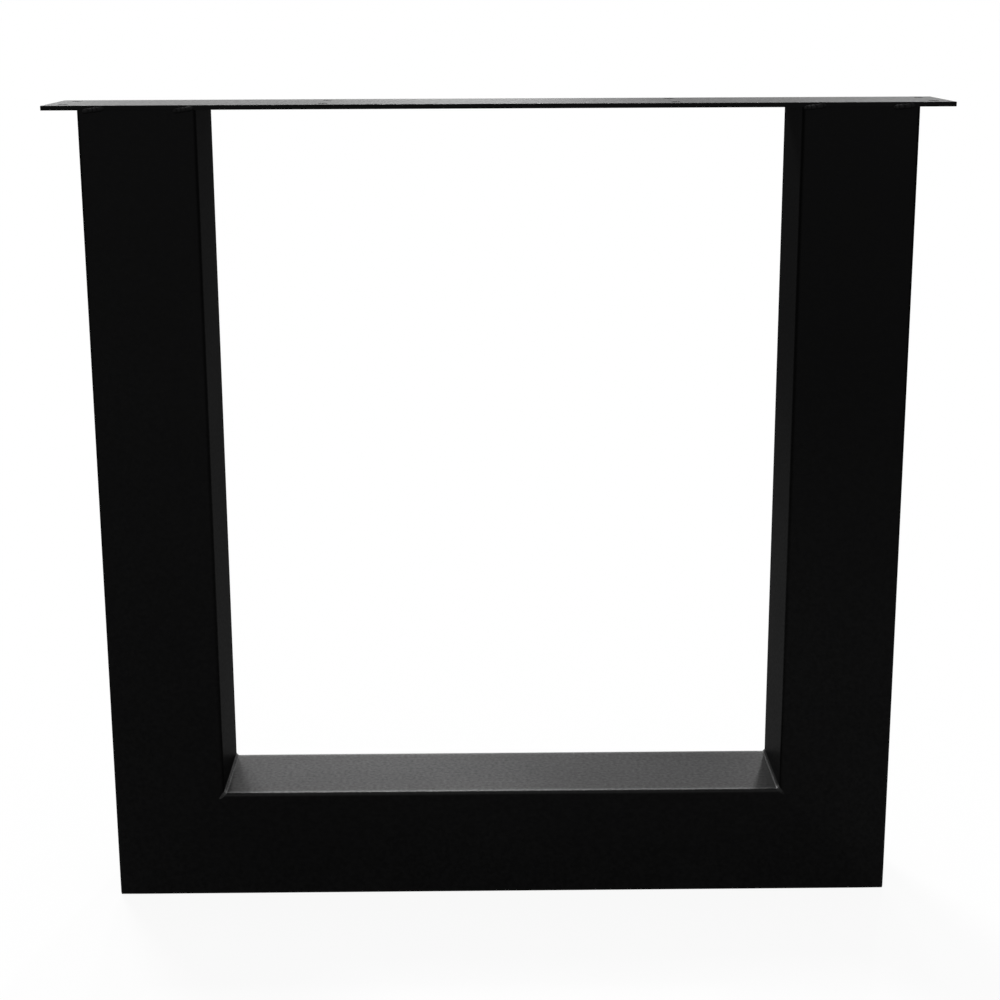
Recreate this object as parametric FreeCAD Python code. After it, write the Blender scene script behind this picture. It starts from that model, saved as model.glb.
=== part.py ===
import FreeCAD, Part
import math
import os

os.makedirs("parts", exist_ok=True)

# All sizes are in millimetres.
# The floor is z = 0; x runs across the leg and y from its front to its back.

# Whole leg
LEG_HEIGHT = 720.0
FRAME_WIDTH = 710.0

# Square steel tube of the two uprights and the bottom rail
TUBE_SIDE = 100.0
TUBE_WALL = 2.0
TUBE_EDGE_RADIUS = 4.0
GROUND_CORNER_RADIUS = 3.0

# Flat steel plate under the table top, as wide as the tube
PLATE_THICKNESS = 4.0
PLATE_OVERHANG = 30.0
PLATE_EDGE_ROUND = 0.5

# Screw holes of the plate: one set in the overhangs, one set between the uprights
SCREW_HOLE_DIAMETER = 9.0
SCREW_ROW_SPACING = 60.0
END_HOLE_EDGE_DISTANCE = 15.0
MIDDLE_HOLE_SPACING = 300.0

# Short stitch welds over the joint of plate and tube, front and back
STITCH_LENGTH = 19.0
STITCH_HEIGHT = 6.0
STITCH_RISE = 1.6
STITCH_LIFT = 0.3
STITCH_OUTER_INSET = 14.0
STITCH_INNER_INSET = 10.5

# Fillet welds in the two inner corners, which run out over the rounded tube edges
CORNER_WELD_LEG = 2.2
CORNER_WELD_THROAT = 1.9
RUN_OUT_RADIUS = 2.4
RUN_OUT_LENGTH = 3.0
RUN_OUT_RISE = 0.4

# How far the cutting bodies run past the steel
CUT_MARGIN = 10.0

plate_underside = LEG_HEIGHT - PLATE_THICKNESS
outer_x = FRAME_WIDTH / 2
inner_x = outer_x - TUBE_SIDE
plate_end_x = outer_x + PLATE_OVERHANG
face_y = TUBE_SIDE / 2
cut_y = face_y + CUT_MARGIN

ORIGIN = FreeCAD.Vector(0, 0, 0)
ACROSS = FreeCAD.Vector(1, 0, 0)
TO_BACK = FreeCAD.Vector(0, 1, 0)
UPWARD = FreeCAD.Vector(0, 0, 1)


def block(low, high):
    """Box between two opposite corners."""
    size = high - low
    return Part.makeBox(size.x, size.y, size.z, low)


def edges_along(box, direction):
    """The edges of a box that run in one of its three directions."""
    tolerance = Part.Precision.angular()
    return [edge for edge in box.Edges if edge.Curve.Direction.isParallel(direction, tolerance)]


def rounded_bar(low, high, direction, inset):
    """Square bar, drawn in by an inset on its four long faces, with its long edges rounded like the tube."""
    draw_in = (ACROSS + TO_BACK + UPWARD - direction) * inset
    bar = block(low + draw_in, high - draw_in)
    return bar.makeFillet(TUBE_EDGE_RADIUS - inset, edges_along(bar, direction))


def prism(outline):
    """Body with an outline in x and z that runs through the whole depth of the leg."""
    points = [FreeCAD.Vector(x, -cut_y, z) for x, z in outline]
    face = Part.Face(Part.makePolygon(points + points[:1]))
    return face.extrude(TO_BACK * 2 * cut_y)


def capsule(start, end, radius):
    """Rod with round ends whose axis runs from start to end."""
    rod = Part.makeCylinder(radius, (end - start).Length, start, end - start)
    return rod.multiFuse([Part.makeSphere(radius, start), Part.makeSphere(radius, end)])


def other_side(shape):
    """The same piece on the other side of the leg."""
    return shape.mirror(ORIGIN, ACROSS)


def other_face(shape):
    """The same piece at the back of the leg."""
    return shape.mirror(ORIGIN, TO_BACK)


# Tubes: hollow square section with rounded edges, before the ends are cut
upright_low = FreeCAD.Vector(-outer_x, -face_y, 0)
upright_high = FreeCAD.Vector(-inner_x, face_y, plate_underside)
upright_body = rounded_bar(upright_low, upright_high, UPWARD, 0)
upright_tube = upright_body.cut(rounded_bar(upright_low, upright_high, UPWARD, TUBE_WALL))

rail_low = FreeCAD.Vector(-outer_x, -face_y, 0)
rail_high = FreeCAD.Vector(outer_x, face_y, TUBE_SIDE)
rail_body = rounded_bar(rail_low, rail_high, ACROSS, 0)
rail_tube = rail_body.cut(rounded_bar(rail_low, rail_high, ACROSS, TUBE_WALL))

# Mitred corners: each tube keeps its side of the slanting cut, and the outer edge is ground round
mitre_reach = TUBE_SIDE + CUT_MARGIN
mitre_foot = (-outer_x, 0)
mitre_head = (-outer_x + mitre_reach, mitre_reach)
upright_side = prism(
    [mitre_foot, mitre_head, (mitre_head[0], plate_underside), (-outer_x, plate_underside)])
rail_side = prism([mitre_foot, mitre_head, (-mitre_head[0], mitre_reach), (outer_x, 0)])

outline = block(FreeCAD.Vector(-outer_x, -cut_y, 0), FreeCAD.Vector(outer_x, cut_y, plate_underside))
ground_edges = [edge for edge in edges_along(outline, TO_BACK) if edge.CenterOfMass.z < TUBE_SIDE]
ground_outline = outline.makeFillet(GROUND_CORNER_RADIUS, ground_edges)

left_upright = upright_tube.common(upright_side).common(ground_outline)
right_upright = other_side(left_upright)
bottom_rail = rail_tube.common(rail_side).common(ground_outline)

# Mounting plate with slightly rounded edges and two sets of screw holes
plate_low = FreeCAD.Vector(-plate_end_x, -face_y, plate_underside)
plate_high = FreeCAD.Vector(plate_end_x, face_y, LEG_HEIGHT)
plate_body = block(plate_low, plate_high)
plate_body = plate_body.makeFillet(PLATE_EDGE_ROUND, plate_body.Edges)

end_hole_x = plate_end_x - END_HOLE_EDGE_DISTANCE
middle_hole_x = MIDDLE_HOLE_SPACING / 2
row_y = SCREW_ROW_SPACING / 2
screw_holes = []
for hole_x in (-end_hole_x, -middle_hole_x, middle_hole_x, end_hole_x):
    for hole_y in (-row_y, row_y):
        foot = FreeCAD.Vector(hole_x, hole_y, plate_underside)
        screw_holes.append(Part.makeCylinder(SCREW_HOLE_DIAMETER / 2, PLATE_THICKNESS, foot, UPWARD))
mounting_plate = plate_body.cut(screw_holes)

# Steel that the welds lie on, taken as solid
weld_bed = [upright_body, rail_body, plate_body]

# Stitch welds: low domes on the flush faces of plate and tube, near both edges of each upright
stitch_radius = ((STITCH_HEIGHT / 2) ** 2 + STITCH_RISE ** 2) / (2 * STITCH_RISE)
stitch_y = -face_y - STITCH_RISE + stitch_radius
stitch_half_run = (STITCH_LENGTH - STITCH_HEIGHT) / 2


def stitch(centre_x):
    """Bead along the top of the left upright's front face, with its back cut to fit the steel."""
    centre = FreeCAD.Vector(centre_x, stitch_y, plate_underside + STITCH_LIFT)
    bead = capsule(centre - ACROSS * stitch_half_run, centre + ACROSS * stitch_half_run, stitch_radius)
    return bead.cut(weld_bed)


front_left_stitches = [stitch(-outer_x + STITCH_OUTER_INSET), stitch(-inner_x - STITCH_INNER_INSET)]
front_stitches = front_left_stitches + [other_side(bead) for bead in front_left_stitches]
plate_welds = Part.makeCompound(front_stitches + [other_face(bead) for bead in front_stitches])

# Corner welds: a convex fillet along each inner corner, turned down along the mitre at both ends
fillet_sink = (CORNER_WELD_LEG ** 2 - CORNER_WELD_THROAT ** 2) / (
    2 * (math.sqrt(2) * CORNER_WELD_THROAT - CORNER_WELD_LEG))
fillet_radius = CORNER_WELD_THROAT + math.sqrt(2) * fillet_sink
fillet_middle = FreeCAD.Vector(-inner_x - fillet_sink, 0, TUBE_SIDE - fillet_sink)
fillet_end = fillet_middle - TO_BACK * (face_y + RUN_OUT_RISE - fillet_radius)
fillet = capsule(fillet_end, other_face(Part.Vertex(fillet_end)).Point, fillet_radius)

run_out_start = fillet_middle - TO_BACK * (face_y + RUN_OUT_RISE - RUN_OUT_RADIUS)
down_mitre = (-ACROSS - UPWARD).normalize()
run_out = capsule(run_out_start, run_out_start + down_mitre * RUN_OUT_LENGTH, RUN_OUT_RADIUS)

left_corner_weld = fillet.multiFuse([run_out, other_face(run_out)]).cut(weld_bed)
corner_welds = Part.makeCompound([left_corner_weld, other_side(left_corner_weld)])

pieces = {
    "mounting_plate": mounting_plate,
    "left_upright": left_upright,
    "right_upright": right_upright,
    "bottom_rail": bottom_rail,
    "plate_welds": plate_welds,
    "corner_welds": corner_welds,
}
for name, shape in pieces.items():
    shape.exportStep(os.path.join("parts", name + ".step"))
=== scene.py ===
import math

import bpy
import numpy as np
from mathutils import Matrix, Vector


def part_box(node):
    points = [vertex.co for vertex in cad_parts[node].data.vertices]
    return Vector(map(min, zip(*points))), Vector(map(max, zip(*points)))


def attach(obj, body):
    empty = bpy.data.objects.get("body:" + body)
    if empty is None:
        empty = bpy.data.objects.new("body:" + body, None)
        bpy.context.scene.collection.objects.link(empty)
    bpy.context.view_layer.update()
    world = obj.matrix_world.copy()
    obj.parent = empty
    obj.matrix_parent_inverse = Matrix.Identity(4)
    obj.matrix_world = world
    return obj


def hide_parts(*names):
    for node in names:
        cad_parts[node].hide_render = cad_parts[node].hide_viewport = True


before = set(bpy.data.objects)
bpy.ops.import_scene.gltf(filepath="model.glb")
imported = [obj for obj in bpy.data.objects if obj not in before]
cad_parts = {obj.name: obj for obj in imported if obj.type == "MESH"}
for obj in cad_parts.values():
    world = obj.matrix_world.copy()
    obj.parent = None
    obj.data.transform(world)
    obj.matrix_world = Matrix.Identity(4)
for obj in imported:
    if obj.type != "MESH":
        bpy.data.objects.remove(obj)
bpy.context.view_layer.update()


# Bottom rail.
# A square steel tube with rounded edges lies on the floor and carries both uprights.
# Its ends are mitred, welded to the uprights, ground flush and powder coated satin black.
TUBE_EDGE_RADIUS = 0.004
TUBE_WALL = 0.002
GROUND_CORNER_RADIUS = 0.003
FACE_HOLLOW = 0.00012
GRIND_DEPTH = 0.00008
GRIND_WIDTH = 0.014
EDGE_STEPS = 18
FACE_STEPS = 24
LENGTH_STEPS = 96
SHARP_EDGE = math.radians(35)
FAT_EDGE_WIDTH = 0.0018
FAT_EDGE_BUILD = 1.1

upright_low, upright_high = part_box("left_upright")
rail_low, rail_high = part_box("bottom_rail")
outer_x = -upright_low.x
tube_side = rail_high.z - rail_low.z
inner_x = outer_x - tube_side
face_y = rail_high.y
plate_underside = upright_high.z


def tube_outline(side, radius, hollow):
    """Outline of the tube, counter-clockwise: a quarter circle, then a face that dips by a parabola,
    four times over. Returns the points, and for each from 0 to 1 how near it lies to the middle of an
    edge, and by a bell curve how near to the two lines where the edges run into the face that looks
    along the first axis, less where it looks away from that axis."""
    reach = side / 2 - radius
    turn = np.linspace(0, np.pi / 2, EDGE_STEPS + 1)
    across = np.linspace(-1, 1, FACE_STEPS + 1)[1:-1]
    along = -reach * np.sin(across * np.pi / 2)
    edge = np.stack([reach + radius * np.cos(turn), reach + radius * np.sin(turn)], 1)
    face = np.stack([along, side / 2 - hollow * (1 - (along / reach) ** 2)], 1)
    quarters = [np.concatenate([edge, face])]
    for _ in range(3):
        before = quarters[-1]
        quarters.append(np.stack([-before[:, 1], before[:, 0]], 1))
    roundness = np.concatenate([np.sin(2 * turn) ** 3, np.zeros(len(along))])
    from_line = np.concatenate([radius * np.minimum(turn, np.pi / 2 - turn), reach - np.abs(along)])
    facing = np.concatenate([turn, np.full(len(along), np.pi / 2)])
    facing = np.concatenate([facing + quarter * np.pi / 2 for quarter in range(4)])
    fat_edge = np.tile(np.exp(-(from_line / FAT_EDGE_WIDTH) ** 2), 4) * np.clip(np.cos(facing), 0, 1) ** 2
    return np.concatenate(quarters), np.tile(roundness, 4), fat_edge


def skin(rows, columns, first=0, flip=False):
    """Quads of a grid that closes on itself round its columns, numbered from a first vertex."""
    row = np.arange(rows - 1)[:, None] * columns + first
    column = np.arange(columns)[None, :]
    after = (column + 1) % columns
    quads = np.stack([row + column, row + after, row + columns + after, row + columns + column], -1)
    quads = quads.reshape(-1, 4)
    return quads[:, ::-1] if flip else quads


def mesh_piece(name, points, faces, dark_edge_and_painted_shade, film_build, replaced, material):
    """Object made from points and faces that stands for a node. Its points know, from 0 to 1, where the
    colour is darker over rounded edges and painted shade in weld crevices, and how much more or less gloss
    the film built up at each than on the flats."""
    mesh = bpy.data.meshes.new(name)
    mesh.from_pydata(points.tolist(), [], faces.tolist())
    for attribute_name, values in (("dark_edge_and_painted_shade", dark_edge_and_painted_shade), ("film_build", film_build)):
        attribute = mesh.attributes.new(attribute_name, "FLOAT", "POINT")
        attribute.data.foreach_set("value", values.astype(np.float32))
    mesh.shade_smooth()
    mesh.set_sharp_from_angle(angle=SHARP_EDGE)
    mesh.materials.append(material)
    piece = bpy.data.objects.new(name, mesh)
    bpy.context.scene.collection.objects.link(piece)
    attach(piece, "root")
    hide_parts(replaced)


def ground_round(points):
    """Brings what stands out past the ground radius of the lower outer corners back onto that radius."""
    centre_x = outer_x - GROUND_CORNER_RADIUS
    x, z = points[..., 0], points[..., 2]
    across = np.abs(x) - centre_x
    down = GROUND_CORNER_RADIUS - z
    distance = np.hypot(across, down)
    outside = (across > 0) & (down > 0) & (distance > GROUND_CORNER_RADIUS)
    shrink = GROUND_CORNER_RADIUS / np.maximum(distance, GROUND_CORNER_RADIUS)
    rounded_x = np.where(outside, np.sign(x) * (centre_x + across * shrink), x)
    rounded_z = np.where(outside, GROUND_CORNER_RADIUS - down * shrink, z)
    return np.stack([rounded_x, points[..., 1], rounded_z], -1)


def ground_outline(outline, distance):
    """The outline at some distance from a ground seam, drawn in by a bell curve of that distance."""
    drawn_in = GRIND_DEPTH * np.exp(-(distance / GRIND_WIDTH) ** 2)
    return outline * (1 - drawn_in / (tube_side / 2))[..., None]


def hollow_tube(name, place, edge_build, replaced, material):
    """Square tube with its wall: place(outline, share) carries an outline to shares of the tube's length.
    The rows crowd towards both ends by a cosine, so that the ground corners come out round. The film
    builds up by edge_build where the outline says that it gathers beside an edge."""
    outer, roundness, fat_edge = tube_outline(tube_side, TUBE_EDGE_RADIUS, FACE_HOLLOW)
    inner = tube_outline(tube_side - 2 * TUBE_WALL, TUBE_EDGE_RADIUS - TUBE_WALL, 0)[0]
    count = len(outer)
    share = (1 - np.cos(np.linspace(0, np.pi, LENGTH_STEPS + 1))) / 2
    outside = ground_round(place(outer, share[:, None]))
    inside = place(inner, np.array([[0.0], [1.0]]))
    points = np.concatenate([outside.reshape(-1, 3), inside.reshape(-1, 3)])
    head_first = LENGTH_STEPS * count
    inner_first = head_first + count
    here = np.arange(count)
    after = (here + 1) % count
    foot = np.stack([after, here, inner_first + here, inner_first + after], 1)
    head = np.stack([here, after, 2 * count + after, 2 * count + here], 1) + head_first
    faces = np.concatenate([
        skin(LENGTH_STEPS + 1, count), skin(2, count, inner_first, True), foot, head])
    inner_wall = np.zeros(2 * count)
    dark_edge_and_painted_shade = np.concatenate([np.tile(roundness, LENGTH_STEPS + 1), inner_wall])
    film_build = np.concatenate([np.tile(edge_build * fat_edge, LENGTH_STEPS + 1), inner_wall])
    mesh_piece(name, points, faces, dark_edge_and_painted_shade, film_build, replaced, material)


def along_rail(outline, share):
    """The outline's first axis is up and its second to the front; both ends lie on the mitre planes."""
    length = 2 * (outer_x - tube_side / 2)
    from_seam = np.broadcast_to(length * np.minimum(share, 1 - share), (len(share), len(outline)))
    outline = ground_outline(outline, from_seam)
    up = outline[..., 0] + tube_side / 2
    reach = outer_x - up
    return np.stack([reach * (2 * share - 1), -outline[..., 1], up], -1)


def add_node(tree, kind, inputs=(), **settings):
    """Node of a kind with its settings, and its inputs set to values or linked to other nodes."""
    made = tree.nodes.new(kind)
    for name, value in settings.items():
        setattr(made, name, value)
    for socket, value in dict(inputs).items():
        if isinstance(value, bpy.types.NodeSocket):
            tree.links.new(value, made.inputs[socket])
        else:
            made.inputs[socket].default_value = value
    return made


def ramp(tree, value, span, ends, interpolation="LINEAR"):
    """Result that goes from one end to the other, straight or by a smooth step, while a value passes
    through a span, and stays at the ends outside it."""
    made = add_node(tree, "ShaderNodeMapRange", {
        "Value": value, "From Min": span[0], "From Max": span[1], "To Min": ends[0], "To Max": ends[1]},
        interpolation_type=interpolation)
    return made.outputs["Result"]


def combine(tree, operation, *values):
    """Result of one arithmetic operation on one or two values."""
    return add_node(tree, "ShaderNodeMath", dict(enumerate(values)), operation=operation).outputs["Value"]


def mixed_colour(tree, share, first, second):
    """The first colour where the share is 0, the second where it is 1, and their mix between."""
    made = add_node(tree, "ShaderNodeMix", {0: share, 6: first, 7: second}, data_type="RGBA")
    return made.outputs[2]


def noise(tree, place, scale, detail):
    """Cloudy noise about 0.5, with so many clouds to the metre and so many finer layers over them."""
    made = add_node(tree, "ShaderNodeTexNoise", {"Vector": place, "Scale": scale, "Detail": detail})
    return made.outputs["Fac"]


COAT_BLACK = (0.0023, 0.0023, 0.0024, 1.0)
# Painted highlight: the coat's colour is painted lighter towards the head of the leg, for the light that
# falls more there.
COAT_PAINTED_LIGHT_HEAD = (0.0050, 0.0050, 0.0051, 1.0)
# Darker colour over the middle of rounded edges; in weld crevices and under weld bellies it is painted
# shade.
COAT_DARK_EDGE_AND_PAINTED_SHADE = (0.0014, 0.0014, 0.0014, 1.0)
# Painted highlight: lighter grey on rounded edges and weld crevices where they face up.
COAT_PAINTED_EDGE_HIGHLIGHT = (0.012, 0.012, 0.012, 1.0)
COAT_ROUGHNESS = (0.46, 0.56)
COAT_GLOSS_ROUGHNESS = 0.40
COAT_IOR = 1.5
FOOT_TO_HEAD = (0.1, 0.7)
FOOT_TO_HEAD_GLOSS = (2.25, 0.68)
UPRIGHT_TO_LEVEL = (0.35, 0.97)
# How far a surface faces up before that painted highlight comes in fully.
SHADED_TO_PAINTED_HIGHLIGHT = (0.1, 0.6)
PEEL_NOISE = (310.0, 2.0)
PEEL_GLOSS = (0.75, 1.25)
CLOUD_NOISE = (11.0, 4.0)
CLOUD_GLOSS = (1.0, 0.88)
DUST_NOISE = (240.0, 1.0)
DUST_TO_NIB = (0.70, 0.78)
NIB_HEIGHT = (0.0, 0.5)
NOISE_SPAN = (0.3, 0.7)
NONE_TO_ALL = (0.0, 1.0)


def powder_coat_group():
    """Black powder coat as colour, roughness, gloss and height over the surface.
    The cured film has a fine orange peel, a cloudy gloss and a few dust nibs. Its colour is painted
    lighter towards the head of the leg, a painted highlight. The colour is darker over the middle of
    rounded edges, is painted shade in weld crevices and under weld bellies, and is painted lighter grey
    where these face up. The film builds up beside the edges, is glossier towards the foot, and flows out to
    a closed gloss only on faces that lie level."""
    tree = bpy.data.node_groups.new("powder_coat", "ShaderNodeTree")
    for name in ("Dark Edge And Painted Shade", "Film Build", "Level Gloss", "Upright Gloss"):
        tree.interface.new_socket(name, in_out="INPUT", socket_type="NodeSocketFloat")
    tree.interface.new_socket("Color", in_out="OUTPUT", socket_type="NodeSocketColor")
    for name in ("Roughness", "Gloss", "Height"):
        tree.interface.new_socket(name, in_out="OUTPUT", socket_type="NodeSocketFloat")
    given = add_node(tree, "NodeGroupInput").outputs
    place = add_node(tree, "ShaderNodeTexCoord").outputs["Object"]
    facing = add_node(tree, "ShaderNodeNewGeometry").outputs["Normal"]
    upward = add_node(tree, "ShaderNodeSeparateXYZ", {"Vector": facing}).outputs["Z"]
    above_floor = add_node(tree, "ShaderNodeSeparateXYZ", {"Vector": place}).outputs["Z"]
    peel = noise(tree, place, *PEEL_NOISE)
    cloud = noise(tree, place, *CLOUD_NOISE)
    dust = noise(tree, place, *DUST_NOISE)

    # Painted highlight: the colour is painted lighter towards the head of the leg.
    painted_light_headward = ramp(tree, above_floor, FOOT_TO_HEAD, NONE_TO_ALL)
    film = mixed_colour(tree, painted_light_headward, COAT_BLACK, COAT_PAINTED_LIGHT_HEAD)
    # Darker over rounded edges and painted shade in weld crevices, painted lighter grey where these face
    # up.
    painted_highlight_share = ramp(tree, upward, SHADED_TO_PAINTED_HIGHLIGHT, NONE_TO_ALL)
    painted_edge_colour = mixed_colour(tree, painted_highlight_share, COAT_DARK_EDGE_AND_PAINTED_SHADE, COAT_PAINTED_EDGE_HIGHLIGHT)
    colour = mixed_colour(tree, given["Dark Edge And Painted Shade"], film, painted_edge_colour)
    roughness = ramp(tree, cloud, NOISE_SPAN, COAT_ROUGHNESS)

    run_down = ramp(tree, above_floor, FOOT_TO_HEAD, FOOT_TO_HEAD_GLOSS)
    upright_gloss = combine(tree, "MULTIPLY", given["Upright Gloss"], run_down)
    flowed_out = ramp(
        tree, upward, UPRIGHT_TO_LEVEL, (upright_gloss, given["Level Gloss"]), "SMOOTHSTEP")
    built_up = combine(tree, "ADD", given["Film Build"], 1.0)
    gathered = combine(tree, "MULTIPLY", flowed_out, built_up)
    clouded = ramp(tree, cloud, NOISE_SPAN, CLOUD_GLOSS)
    grained = ramp(tree, peel, NOISE_SPAN, PEEL_GLOSS)
    gloss = combine(tree, "MULTIPLY", gathered, combine(tree, "MULTIPLY", clouded, grained))

    nib = ramp(tree, dust, DUST_TO_NIB, NIB_HEIGHT)
    height = combine(tree, "ADD", peel, nib)
    add_node(tree, "NodeGroupOutput", {
        "Color": colour, "Roughness": roughness, "Gloss": gloss, "Height": height})
    return tree


powder_coat = powder_coat_group()


def coated_steel(name, level_gloss, upright_gloss, peel_depth):
    """Steel under the black powder coat, with its gloss on level and on upright faces and the depth of
    its peel in metres. All of the gloss is the coat's; the colour under it is plain diffuse."""
    material = bpy.data.materials.new(name)
    material.use_nodes = True
    tree = material.node_tree
    tree.nodes.clear()
    dark_edge_and_painted_shade = add_node(tree, "ShaderNodeAttribute", attribute_name="dark_edge_and_painted_shade")
    film_build = add_node(tree, "ShaderNodeAttribute", attribute_name="film_build")
    coat = add_node(tree, "ShaderNodeGroup", {
        "Dark Edge And Painted Shade": dark_edge_and_painted_shade.outputs["Fac"], "Film Build": film_build.outputs["Fac"],
        "Level Gloss": level_gloss, "Upright Gloss": upright_gloss}, name="film", node_tree=powder_coat)
    bump = add_node(tree, "ShaderNodeBump", {
        "Height": coat.outputs["Height"], "Strength": 1.0, "Distance": peel_depth})
    shader = add_node(tree, "ShaderNodeBsdfPrincipled", {
        "Base Color": coat.outputs["Color"], "Roughness": coat.outputs["Roughness"],
        "Coat Weight": coat.outputs["Gloss"], "Coat Roughness": COAT_GLOSS_ROUGHNESS,
        "Coat IOR": COAT_IOR, "IOR": COAT_IOR, "Specular IOR Level": 0.0,
        "Normal": bump.outputs["Normal"]})
    add_node(tree, "ShaderNodeOutputMaterial", {"Surface": shader.outputs["BSDF"]})
    return material


def gloss_along(material, socket, axis, near, far):
    """Lets a gloss of a coat change by a smooth step between two distances from the frame's origin along
    an axis; near and far are each a distance and the gloss there."""
    tree = material.node_tree
    place = add_node(tree, "ShaderNodeTexCoord").outputs["Object"]
    along = add_node(tree, "ShaderNodeSeparateXYZ", {"Vector": place}).outputs[axis]
    distance = combine(tree, "ABSOLUTE", along)
    gloss = ramp(tree, distance, (near[0], far[0]), (near[1], far[1]), "SMOOTHSTEP")
    tree.links.new(gloss, tree.nodes["film"].inputs[socket])


RAIL_GLOSS = 0.195
UPRIGHT_FACE_GLOSS = 0.03
TUBE_PEEL = 0.000014
tube_coat = coated_steel("tube_powder_coat", RAIL_GLOSS, UPRIGHT_FACE_GLOSS, TUBE_PEEL)
hollow_tube("bottom_rail_tube", along_rail, FAT_EDGE_BUILD, "bottom_rail", tube_coat)


# Uprights.
# Two lengths of the same square tube stand on the mitred ends of the rail.
# Each is mitred at its foot and cut square at its head, and the right one's coat is flatter up there.
UPRIGHT_EDGE_BUILD = 0.0
# Two heights above the floor, each with the gloss of the right one's faces there
RIGHT_FOOT_GLOSS = (0.25, 0.034)
RIGHT_HEAD_GLOSS = (0.55, 0.014)

right_coat = coated_steel("right_upright_coat", RAIL_GLOSS, UPRIGHT_FACE_GLOSS, TUBE_PEEL)
gloss_along(right_coat, "Upright Gloss", "Z", RIGHT_FOOT_GLOSS, RIGHT_HEAD_GLOSS)
for node, side, upright_coat in (("left_upright", -1, tube_coat), ("right_upright", 1, right_coat)):

    def along_upright(outline, share):
        """The outline's first axis is across and its second to the back; the foot is on the mitre."""
        run = plate_underside - tube_side / 2
        from_seam = np.broadcast_to(run * share, (len(share), len(outline)))
        outline = ground_outline(outline, from_seam)
        foot = tube_side / 2 - side * outline[..., 0]
        x = side * (outer_x - tube_side / 2) + outline[..., 0]
        return np.stack([x, outline[..., 1], foot + (plate_underside - foot) * share], -1)

    hollow_tube(node + "_tube", along_upright, UPRIGHT_EDGE_BUILD, node, upright_coat)


# Corner welds.
# A small fillet weld fills each inner corner of the frame and turns over the rounded tube edges.
# It was run by hand in overlapping puddles, left as welded, and coated with the steel.
CORNER_THROAT = 0.0013
CORNER_RIPPLE_PITCH = 0.0021
CORNER_RIPPLE_HEIGHT = 0.00028
CORNER_TOE_SWAY = 0.10
CORNER_TIP_LENGTH = 0.0040
CORNER_END_REACH = 0.0035
CORNER_ROWS = 560
BEAD_TOP_COLUMNS = 15
BEAD_BED_SPANS = 3
BEAD_SINK = 0.00018
RIPPLE_MEAN = 2 / math.pi
RIPPLE_BEND = 0.55
TIP_SHARE = 0.04
CREVICE_SHARPNESS = 3
CREVICE_BUILD = -0.85
CORNER_GLOSS = 0.13
CORNER_UPRIGHT_GLOSS = 0.06
CORNER_END_BUILD = 3.0
LEFT_BEAD_BUILD = 2.5
RIGHT_BEAD_BUILD = 0.0
LEFT_BEAD_PHASE = 0.0
RIGHT_BEAD_PHASE = 1.1
WELD_PEEL = 0.000014

corner_low, corner_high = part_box("corner_welds")
corner_leg = corner_high.z - rail_high.z
run_out_rise = corner_high.y - face_y
run_out_length = (-inner_x - corner_low.x - TUBE_EDGE_RADIUS) * math.sqrt(2)


def rounded_tip(distance, length):
    """Height of an ellipse over the distance from a bead's tip, from nearly 0 at the tip to 1."""
    inward = 1 - np.clip(distance / length, 0, 1)
    return np.maximum(np.sqrt(1 - inward ** 2), TIP_SHARE)


def puddles(along, across, pitch, phase):
    """Overlapping puddles: a row of half sine waves along a bead, bent back like crescents across it,
    from 0 in the crevices between puddles to 1 on their crests."""
    return np.abs(np.sin(np.pi * (along / pitch + RIPPLE_BEND * across ** 2) + phase))


def closed_bead(rings, painted_shade, build, flip):
    """Points and faces of a bead from its rings of an even number of points, and its film at each point.
    Rungs from one half of the first ring to its other half close that end, and those of the last ring
    the other end."""
    rows, columns = rings.shape[:2]
    near = np.arange(columns // 2 - 1)
    far = columns - 1 - near
    rungs = np.stack([near, near + 1, far - 1, far], 1)
    faces = np.concatenate([skin(rows, columns), rungs[:, ::-1], rungs + (rows - 1) * columns])
    faces = faces[:, ::-1] if flip else faces
    return rings.reshape(-1, 3), faces, painted_shade.ravel(), (build + CREVICE_BUILD * painted_shade).ravel()


def weld_piece(name, beads, replaced, material):
    """Several beads as one object, the points of each numbered on from those of the bead before."""
    points, faces, dark_edge_and_painted_shade, film_build = zip(*beads)
    firsts = np.cumsum([0] + [len(bead_points) for bead_points in points[:-1]])
    points = np.concatenate(points)
    faces = np.concatenate([bead_faces + first for bead_faces, first in zip(faces, firsts)])
    dark_edge_and_painted_shade = np.concatenate(dark_edge_and_painted_shade)
    film_build = np.concatenate(film_build)
    mesh_piece(name, points, faces, dark_edge_and_painted_shade, film_build, replaced, material)


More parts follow.
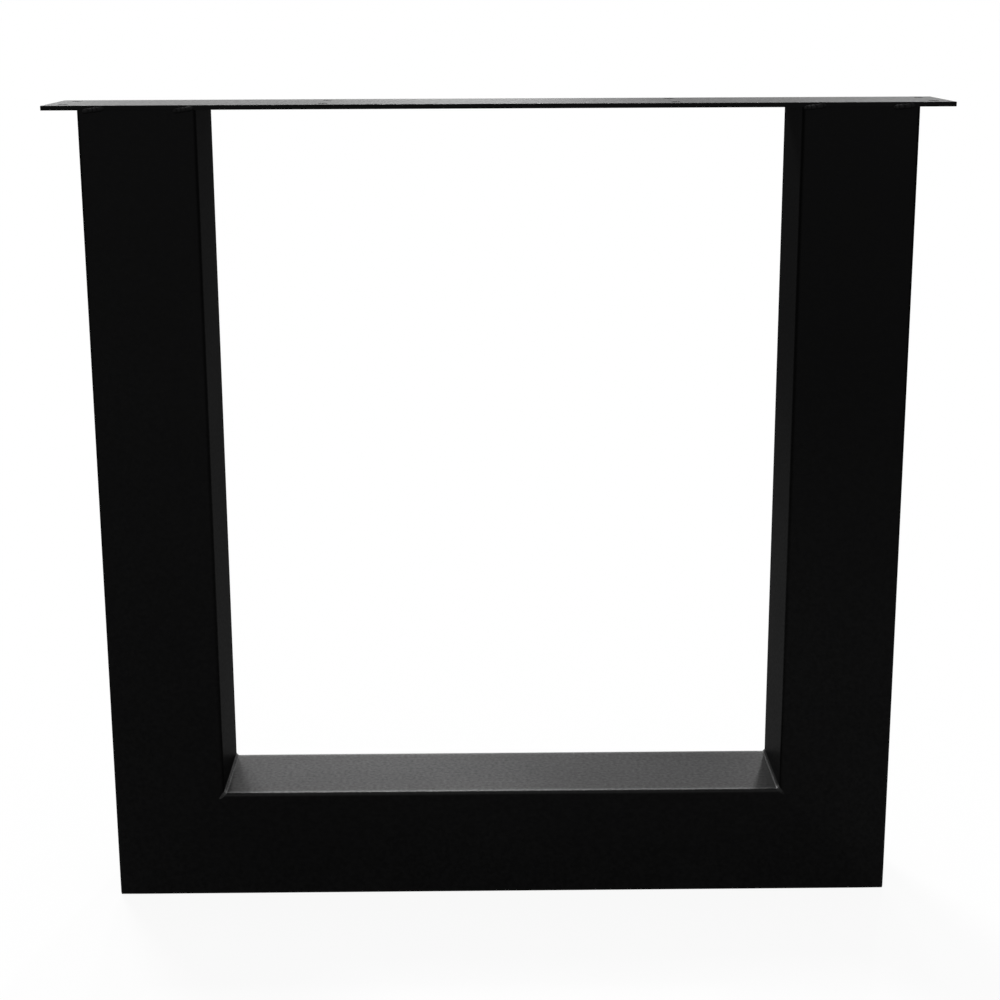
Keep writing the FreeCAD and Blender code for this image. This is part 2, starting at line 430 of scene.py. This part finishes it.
def corner_bead(side, phase, run_build):
    """Bead along one inner corner. The valley between the tubes runs straight, rounds the tube's edge
    and goes a little way down the mitre. A parabola from the toe on the rail over the crown to the toe
    on the upright is carried along it, and half sine waves raise the puddles. The coat builds up by
    run_build all along, and by a bell curve on the last puddle before the edge."""
    straight = face_y - TUBE_EDGE_RADIUS
    bend = TUBE_EDGE_RADIUS * math.pi / 2
    half = straight + bend + run_out_length
    along = np.linspace(-half, half, CORNER_ROWS)[:, None]
    reach = np.abs(along)
    turn = np.clip((reach - straight) / bend, 0, 1) * np.pi / 2
    run = np.maximum(reach - straight - bend, 0)
    drop = TUBE_EDGE_RADIUS * (1 - np.cos(turn)) + run / math.sqrt(2)
    y = np.sign(along) * (np.minimum(reach, straight) + TUBE_EDGE_RADIUS * np.sin(turn))
    valley = np.stack([-inner_x - drop, y, tube_side - drop], -1)
    lift = np.cos(turn) / math.sqrt(2)
    outward = np.stack([lift, np.sign(along) * np.sin(turn), lift], -1)
    valley = valley - BEAD_SINK * outward

    tip = rounded_tip(half - reach, CORNER_TIP_LENGTH)
    last_puddle = np.exp(-((reach - straight) / CORNER_END_REACH) ** 2)
    sway = puddles(along, 0.0, CORNER_RIPPLE_PITCH, phase) - RIPPLE_MEAN
    leg = (corner_leg + BEAD_SINK) * tip * (1 + CORNER_TOE_SWAY * sway)
    crown = CORNER_THROAT + (run_out_rise - CORNER_THROAT) * np.sin(turn) ** 2
    crown = (crown + BEAD_SINK) * tip
    toe_on_rail = valley + leg[..., None] * np.array([1.0, 0.0, 0.0])
    toe_on_upright = valley + leg[..., None] * np.array([0.0, 0.0, 1.0])
    control = 2 * (valley + crown[..., None] * outward) - (toe_on_rail + toe_on_upright) / 2

    v = np.linspace(0, 1, BEAD_TOP_COLUMNS)[None, :]
    dome = 4 * v * (1 - v)
    puddle = puddles(along, 2 * v - 1, CORNER_RIPPLE_PITCH, phase)
    raised = CORNER_RIPPLE_HEIGHT * (puddle - RIPPLE_MEAN) * dome * tip
    v = v[..., None]
    top = (1 - v) ** 2 * toe_on_rail + 2 * v * (1 - v) * control + v ** 2 * toe_on_upright
    top = top + raised[..., None] * outward
    w = np.linspace(1, 0, BEAD_BED_SPANS + 1)[None, 1:, None]
    up_to_valley = valley + w * (toe_on_upright - valley)
    back_to_rail = valley + (1 - w[:, :-1]) * (toe_on_rail - valley)
    rings = np.concatenate([top, up_to_valley, back_to_rail], 1)
    rings[..., 0] *= -side
    painted_shade = np.zeros(rings.shape[:2])
    # Painted shade: darker colour in the crevices between the puddles.
    painted_shade[:, :BEAD_TOP_COLUMNS] = (1 - puddle) ** CREVICE_SHARPNESS
    return closed_bead(rings, painted_shade, run_build + CORNER_END_BUILD * last_puddle, side < 0)


corner_coat = coated_steel("corner_weld_coat", CORNER_GLOSS, CORNER_UPRIGHT_GLOSS, WELD_PEEL)
corner_beads = [
    corner_bead(-1, LEFT_BEAD_PHASE, LEFT_BEAD_BUILD), corner_bead(1, RIGHT_BEAD_PHASE, RIGHT_BEAD_BUILD)]
weld_piece("corner_weld_beads", corner_beads, "corner_welds", corner_coat)


# Mounting plate.
# A flat steel bar, as wide as the tube, lies on both uprights and stands out past them.
# It is drilled for screws into the table top and has its edges broken; its middle is glossiest.
PLATE_PEEL = 0.000003
# Two distances from the plate's middle, each with the gloss there
PLATE_MIDDLE_GLOSS = (0.0, 0.51)
PLATE_END_GLOSS = (0.17, 0.34)

plate_coat = coated_steel("plate_powder_coat", PLATE_END_GLOSS[1], UPRIGHT_FACE_GLOSS, PLATE_PEEL)
gloss_along(plate_coat, "Level Gloss", "X", PLATE_MIDDLE_GLOSS, PLATE_END_GLOSS)
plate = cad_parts["mounting_plate"]
plate.data.materials.clear()
plate.data.materials.append(plate_coat)


# Stitch welds.
# Short beads over the flush joint of plate and tube hold the plate, two on each face of each upright.
# They are a few overlapping puddles each, uneven as hand welding is, and lie under the coat.
STITCH_OUTER_INSET = 0.014
STITCH_INNER_INSET = 0.0105
STITCH_BODY = 0.78
STITCH_PITCH = 0.0046
STITCH_RIPPLE = 0.50
STITCH_SWAY = 0.22
STITCH_TIP_LENGTH = 0.0040
STITCH_SINK = 0.0003
STITCH_ROWS = 150
STITCH_COLUMNS = 32
# Each bead from left to right: its length, its slant, and where from its middle it was started
FRONT_STITCHES = (
    (0.0188, 0.13, -0.0020), (0.0178, 0.15, 0.0030), (0.0190, 0.11, -0.0040), (0.0188, 0.07, -0.0045))
BACK_STITCHES = (
    (0.0182, 0.09, 0.0040), (0.0189, 0.14, -0.0030), (0.0178, 0.12, 0.0020), (0.0184, 0.10, -0.0040))
STITCH_PHASE_STEP = 0.9
STITCH_SHIFT = 0.0010
STITCH_SHIFT_LENGTH = 0.0125
STITCH_PILE_REACH = 0.0065
STITCH_TAIL = 0.60
STITCH_GLOSS = 0.45
STITCH_UPRIGHT_GLOSS = 0.16
STITCH_CREST_BUILD = 2.8

stitch_low, stitch_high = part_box("plate_welds")
stitch_half_height = (stitch_high.z - stitch_low.z) / 2
stitch_rise = stitch_high.y - face_y
stitch_middle = (stitch_high.z + stitch_low.z) / 2


def stitch_bead(centre_x, length, slant, start, facing, phase):
    """Row of puddles along the joint, a little aslant: a half ellipse over the face that swells with
    each puddle, a flat back just inside the steel, which goes deeper where the tube's rounded edge
    falls away, and round tips. A sine wave makes the puddles uneven in length, and a bell curve piles
    them up where the weld was started. The crevices and the bead's belly get painted shade and less gloss,
    and the coat gathers on the upper side of the piled crests."""
    along = np.linspace(-length / 2, length / 2, STITCH_ROWS)[:, None]
    turn = np.linspace(0, 2 * np.pi, STITCH_COLUMNS, endpoint=False)[None, :]
    tip = rounded_tip(length / 2 - np.abs(along), STITCH_TIP_LENGTH)
    shifted = along + STITCH_SHIFT * np.sin(2 * np.pi * along / STITCH_SHIFT_LENGTH + phase)
    puddle = puddles(shifted, np.cos(turn), STITCH_PITCH, phase)
    pile = np.exp(-((along - start) / STITCH_PILE_REACH) ** 2)
    narrowed = 1 - STITCH_SWAY * (1 - puddles(shifted, 0.0, STITCH_PITCH, phase))
    half_height = STITCH_BODY * stitch_half_height * tip * narrowed
    rise = stitch_rise * tip * (1 - STITCH_RIPPLE * (1 - puddle)) * (STITCH_TAIL + (1 - STITCH_TAIL) * pile)
    x = centre_x + along + np.zeros_like(turn)
    past_edge = np.clip(inner_x + TUBE_EDGE_RADIUS - np.abs(x), 0, TUBE_EDGE_RADIUS)
    recess = TUBE_EDGE_RADIUS - np.sqrt(TUBE_EDGE_RADIUS ** 2 - past_edge ** 2)
    height = np.sin(turn)
    out = np.where(height > 0, rise * height, (STITCH_SINK + recess) * height)
    z = stitch_middle + slant * along + half_height * np.cos(turn)
    rings = np.stack([x, facing * (face_y + out), z], -1)
    # Painted shade: darker colour in the crevices between puddles and under the bead's belly.
    painted_shade = np.maximum((1 - puddle) ** CREVICE_SHARPNESS, np.clip(-np.cos(turn), 0, 1))
    crest_build = STITCH_CREST_BUILD * pile * puddle * np.clip(np.cos(turn), 0, 1)
    return closed_bead(rings, painted_shade, crest_build, facing > 0)


stitch_places = (
    -outer_x + STITCH_OUTER_INSET, -inner_x - STITCH_INNER_INSET,
    inner_x + STITCH_INNER_INSET, outer_x - STITCH_OUTER_INSET)
stitches = []
for facing, sizes in ((-1, FRONT_STITCHES), (1, BACK_STITCHES)):
    for centre_x, (length, slant, start) in zip(stitch_places, sizes):
        phase = STITCH_PHASE_STEP * len(stitches)
        stitches.append(stitch_bead(centre_x, length, slant, start, facing, phase))
stitch_coat = coated_steel("stitch_weld_coat", STITCH_GLOSS, STITCH_UPRIGHT_GLOSS, WELD_PEEL)
weld_piece("stitch_weld_beads", stitches, "plate_welds", stitch_coat)


# Studio.
# A plain white floor under an even white surround, with one broad and two small lamps behind the leg.
# The floor shows nearly white to the camera and keeps a light shadow.
CAMERA_PLACE = (-0.0184, -1.7053, 0.7973)
CAMERA_PITCH = math.radians(14.254)
CAMERA_YAW = math.radians(0.603)
CAMERA_ROLL = math.radians(-0.234)
FOCAL_PIXELS = 1934.0
IMAGE_PIXELS = 1000
SENSOR_WIDTH = 36.0
FLOOR_REACH = 150.0
PURE_WHITE = (1.0, 1.0, 1.0, 1.0)
FLOOR_WHITE = (0.97, 0.97, 0.97, 1.0)
FLOOR_SHOWN_WHITE = 0.92
SURROUND_LIGHT = 0.45
LAMP_HEIGHT = math.radians(28)
# Each lamp's name, its turn to the left from straight behind the leg, its width and its strength
LAMPS = (
    ("left_lamp", math.radians(22), math.radians(17), 2.7),
    ("middle_lamp", math.radians(2), math.radians(6), 0.62),
    ("right_lamp", math.radians(-14), math.radians(3), 0.60))


def shown_share(tree):
    """1 for what the camera sees directly or in gloss or glass, 0 for light that falls on the object."""
    ray = add_node(tree, "ShaderNodeLightPath").outputs
    seen = combine(tree, "MAXIMUM", ray["Is Camera Ray"], ray["Is Glossy Ray"])
    return combine(tree, "MAXIMUM", seen, ray["Is Transmission Ray"])


floor_mesh = bpy.data.meshes.new("floor")
floor_mesh.from_pydata(
    [(-FLOOR_REACH, -FLOOR_REACH, 0), (FLOOR_REACH, -FLOOR_REACH, 0), (FLOOR_REACH, FLOOR_REACH, 0),
     (-FLOOR_REACH, FLOOR_REACH, 0)], [], [(0, 1, 2, 3)])
floor = bpy.data.objects.new("floor", floor_mesh)
bpy.context.scene.collection.objects.link(floor)
floor_paint = bpy.data.materials.new("floor_paint")
floor_paint.use_nodes = True
floor_tree = floor_paint.node_tree
floor_tree.nodes.clear()
painted = add_node(floor_tree, "ShaderNodeBsdfDiffuse", {"Color": FLOOR_WHITE})
white = add_node(floor_tree, "ShaderNodeEmission", {"Color": PURE_WHITE, "Strength": 1.0})
white_share = combine(floor_tree, "MULTIPLY", shown_share(floor_tree), FLOOR_SHOWN_WHITE)
floor_mix = add_node(floor_tree, "ShaderNodeMixShader", {
    0: white_share, 1: painted.outputs["BSDF"], 2: white.outputs["Emission"]})
add_node(floor_tree, "ShaderNodeOutputMaterial", {"Surface": floor_mix.outputs["Shader"]})
floor_mesh.materials.append(floor_paint)

world = bpy.data.worlds.new("white_surround")
bpy.context.scene.world = world
world.use_nodes = True
world.node_tree.nodes.clear()
strength = ramp(
    world.node_tree, shown_share(world.node_tree), NONE_TO_ALL, (SURROUND_LIGHT, 1.0))
surround = add_node(world.node_tree, "ShaderNodeBackground", {
    "Color": PURE_WHITE, "Strength": strength})
add_node(world.node_tree, "ShaderNodeOutputWorld", {"Surface": surround.outputs["Background"]})

for lamp_name, lamp_turn, lamp_width, lamp_strength in LAMPS:
    lamp_data = bpy.data.lights.new(lamp_name, "SUN")
    lamp_data.energy = lamp_strength
    lamp_data.angle = lamp_width
    lamp = bpy.data.objects.new(lamp_name, lamp_data)
    aim_down = Matrix.Rotation(LAMP_HEIGHT - math.pi / 2, 4, "X")
    lamp.matrix_world = Matrix.Rotation(lamp_turn, 4, "Z") @ aim_down
    bpy.context.scene.collection.objects.link(lamp)

camera_data = bpy.data.cameras.new("camera")
camera_data.sensor_width = SENSOR_WIDTH
camera_data.lens = FOCAL_PIXELS / IMAGE_PIXELS * SENSOR_WIDTH
camera_data.clip_end = 2 * FLOOR_REACH
camera = bpy.data.objects.new("camera", camera_data)
camera.matrix_world = (
    Matrix.Translation(CAMERA_PLACE) @ Matrix.Rotation(-CAMERA_YAW, 4, "Z")
    @ Matrix.Rotation(math.pi / 2 - CAMERA_PITCH, 4, "X") @ Matrix.Rotation(CAMERA_ROLL, 4, "Z"))
bpy.context.scene.collection.objects.link(camera)
bpy.context.scene.camera = camera
bpy.context.scene.view_settings.view_transform = "Standard"
